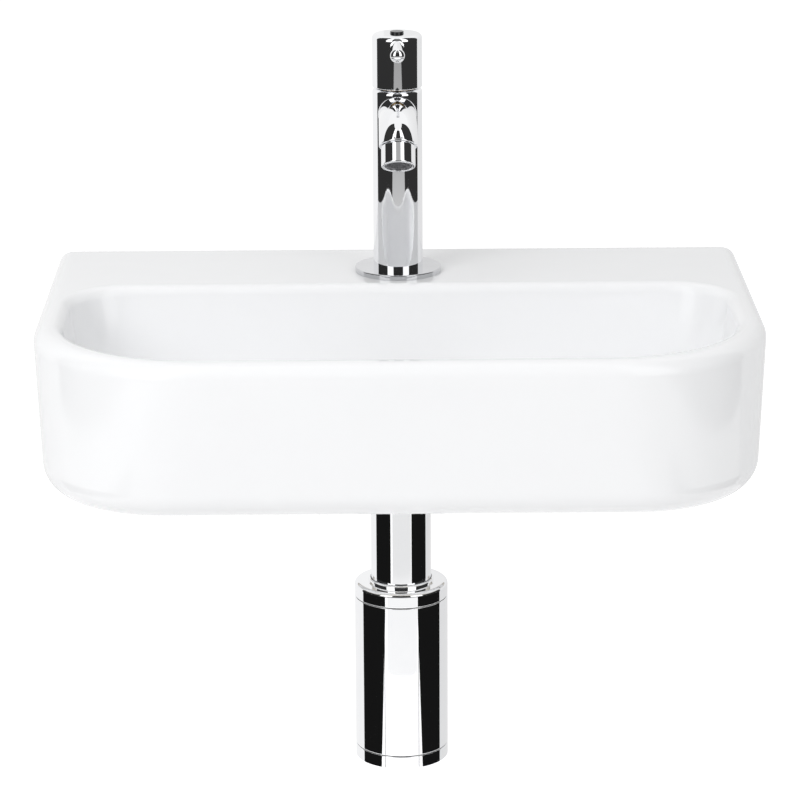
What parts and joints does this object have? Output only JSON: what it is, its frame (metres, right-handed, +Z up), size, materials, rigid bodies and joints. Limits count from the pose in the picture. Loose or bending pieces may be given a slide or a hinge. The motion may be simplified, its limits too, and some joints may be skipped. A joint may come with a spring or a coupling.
{
  "type": "wall hung basin",
  "caption": "Small wall hung ceramic hand basin with a rounded front, a chromed pillar tap on its deck, a grid waste and a chromed bottle trap below.",
  "frame": {"origin": "middle of the two wall studs, on the wall face", "axes": "+X to the user's right, +Y into the wall, +Z up"},
  "size_m": [0.38, 0.3, 0.3802],
  "materials": {
    "ceramic": "gloss glaze",
    "stud_steel": "zinc plated",
    "sleeve_plastic": "moulded",
    "chrome": "bright plated on brass",
    "rubber": "moulded",
    "brass": "turned",
    "mesh_plastic": "moulded mesh",
    "disc_ceramic": "lapped",
    "screw_steel": "plain",
    "cap_plastic": "gloss"
  },
  "bodies": {
    "basin": {"ceramic_basin": "ceramic", "wall_studs": "stud_steel", "stud_washers": "stud_steel", "stud_nuts": "stud_steel", "tap_clamp_washer": "stud_steel", "stud_sleeves": "sleeve_plastic", "tap_flange": "chrome", "tap_pillar": "chrome", "tap_spout": "chrome", "aerator_housing": "chrome", "waste_body": "chrome", "waste_grid": "chrome", "waste_screw": "chrome", "inlet_tube": "chrome", "inlet_nut": "chrome", "trap_top_cap": "chrome", "trap_body": "chrome", "trap_bottom_cap": "chrome", "outlet_nut": "chrome", "outlet_pipe": "chrome", "tap_deck_seal": "rubber", "tap_clamp_rubber": "rubber", "aerator_seal": "rubber", "headwork_seat_seal": "rubber", "headwork_o_ring": "rubber", "waste_top_seal": "rubber", "waste_bottom_seal": "rubber", "inlet_washer": "rubber", "trap_inlet_seal": "rubber", "trap_lid_seal": "rubber", "trap_bottom_seal": "rubber", "outlet_seal": "rubber", "tap_tail": "brass", "tap_backnut": "brass", "headwork_body": "brass", "waste_backnut": "brass", "aerator_insert": "mesh_plastic", "fixed_disc": "disc_ceramic"},
    "handle": {"tap_handle": "chrome", "pin_lever": "chrome", "handle_screw": "screw_steel", "handle_cap": "cap_plastic", "spindle": "brass", "moving_disc": "disc_ceramic", "spindle_o_rings": "rubber", "spindle_circlip": "stud_steel"}
  },
  "joints": [
    {"name": "handle_turn", "type": "hinge", "parent": "basin", "child": "handle", "pos_m": [0, -0.05, 0.155], "axis": [0, 0, 1], "range_deg": [0, 90]}
  ]
}
